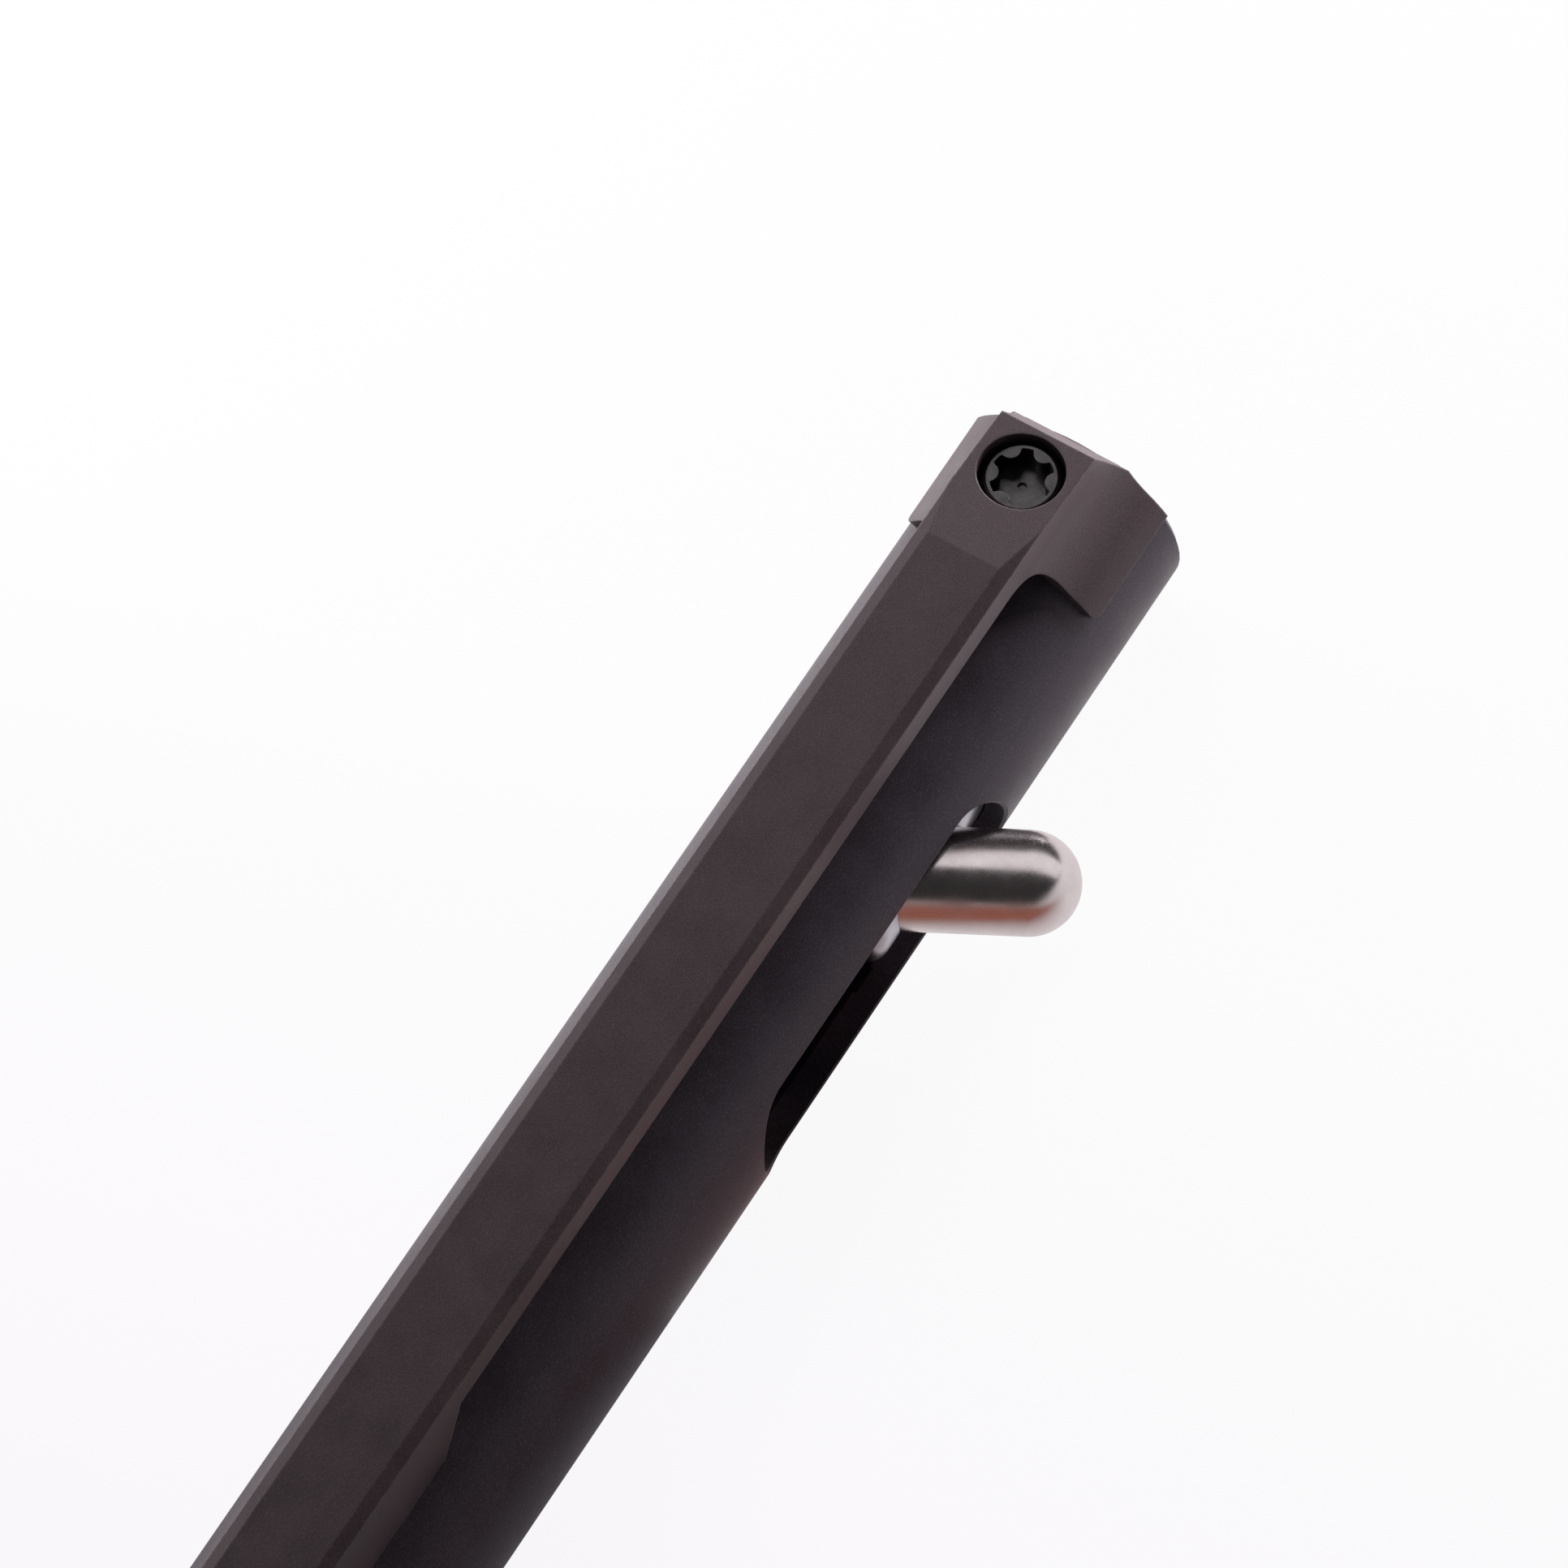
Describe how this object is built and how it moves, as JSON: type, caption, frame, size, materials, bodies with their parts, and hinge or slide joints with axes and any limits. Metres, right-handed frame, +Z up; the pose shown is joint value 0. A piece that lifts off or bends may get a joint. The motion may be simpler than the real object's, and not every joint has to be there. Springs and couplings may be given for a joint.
{
  "type": "bolt action pen",
  "caption": "Dark metal bolt action pen with a straight slot, a leaning round-ended bolt, and a milled pocket clip held by one screw.",
  "frame": {"origin": "on the pen's axis, at the centre of the barrel's flat head end", "axes": "+X along the pen towards the head, with the writing tip at -X; +Z up as the pen lies on a table, resting on its barrel and on the end of the bolt"},
  "size_m": [0.1324, 0.0146, 0.0144],
  "materials": {
    "dark_anodised": "satin dark grey anodise, slightly blue",
    "clip_anodised": "satin dark grey anodise, slightly brown",
    "black_steel": "black oxide",
    "polished_steel": "polished stainless steel",
    "bright_steel": "turned stainless steel",
    "spring_steel": "drawn wire",
    "seal_rubber": "matte black",
    "refill_metal": "plated",
    "plug_plastic": "moulded",
    "carbide": "ground"
  },
  "bodies": {
    "pen": {"barrel": "dark_anodised", "clip": "clip_anodised", "clip_screw": "black_steel", "grip_section": "dark_anodised", "joint_ring": "seal_rubber", "return_spring": "spring_steel"},
    "bolt": {"bolt_pin": "polished_steel", "slider": "bright_steel", "detent_ring": "spring_steel", "refill_tube": "refill_metal", "refill_nozzle": "refill_metal", "refill_plug": "plug_plastic", "writing_ball": "carbide"}
  },
  "joints": [
    {"name": "bolt_slide", "type": "slide", "parent": "pen", "child": "bolt", "axis": [-1, 0, 0], "range_m": [0, 0.0115], "stiffness_N_per_m": 150, "springref_m": -0.01, "deforming": ["return_spring"]}
  ]
}
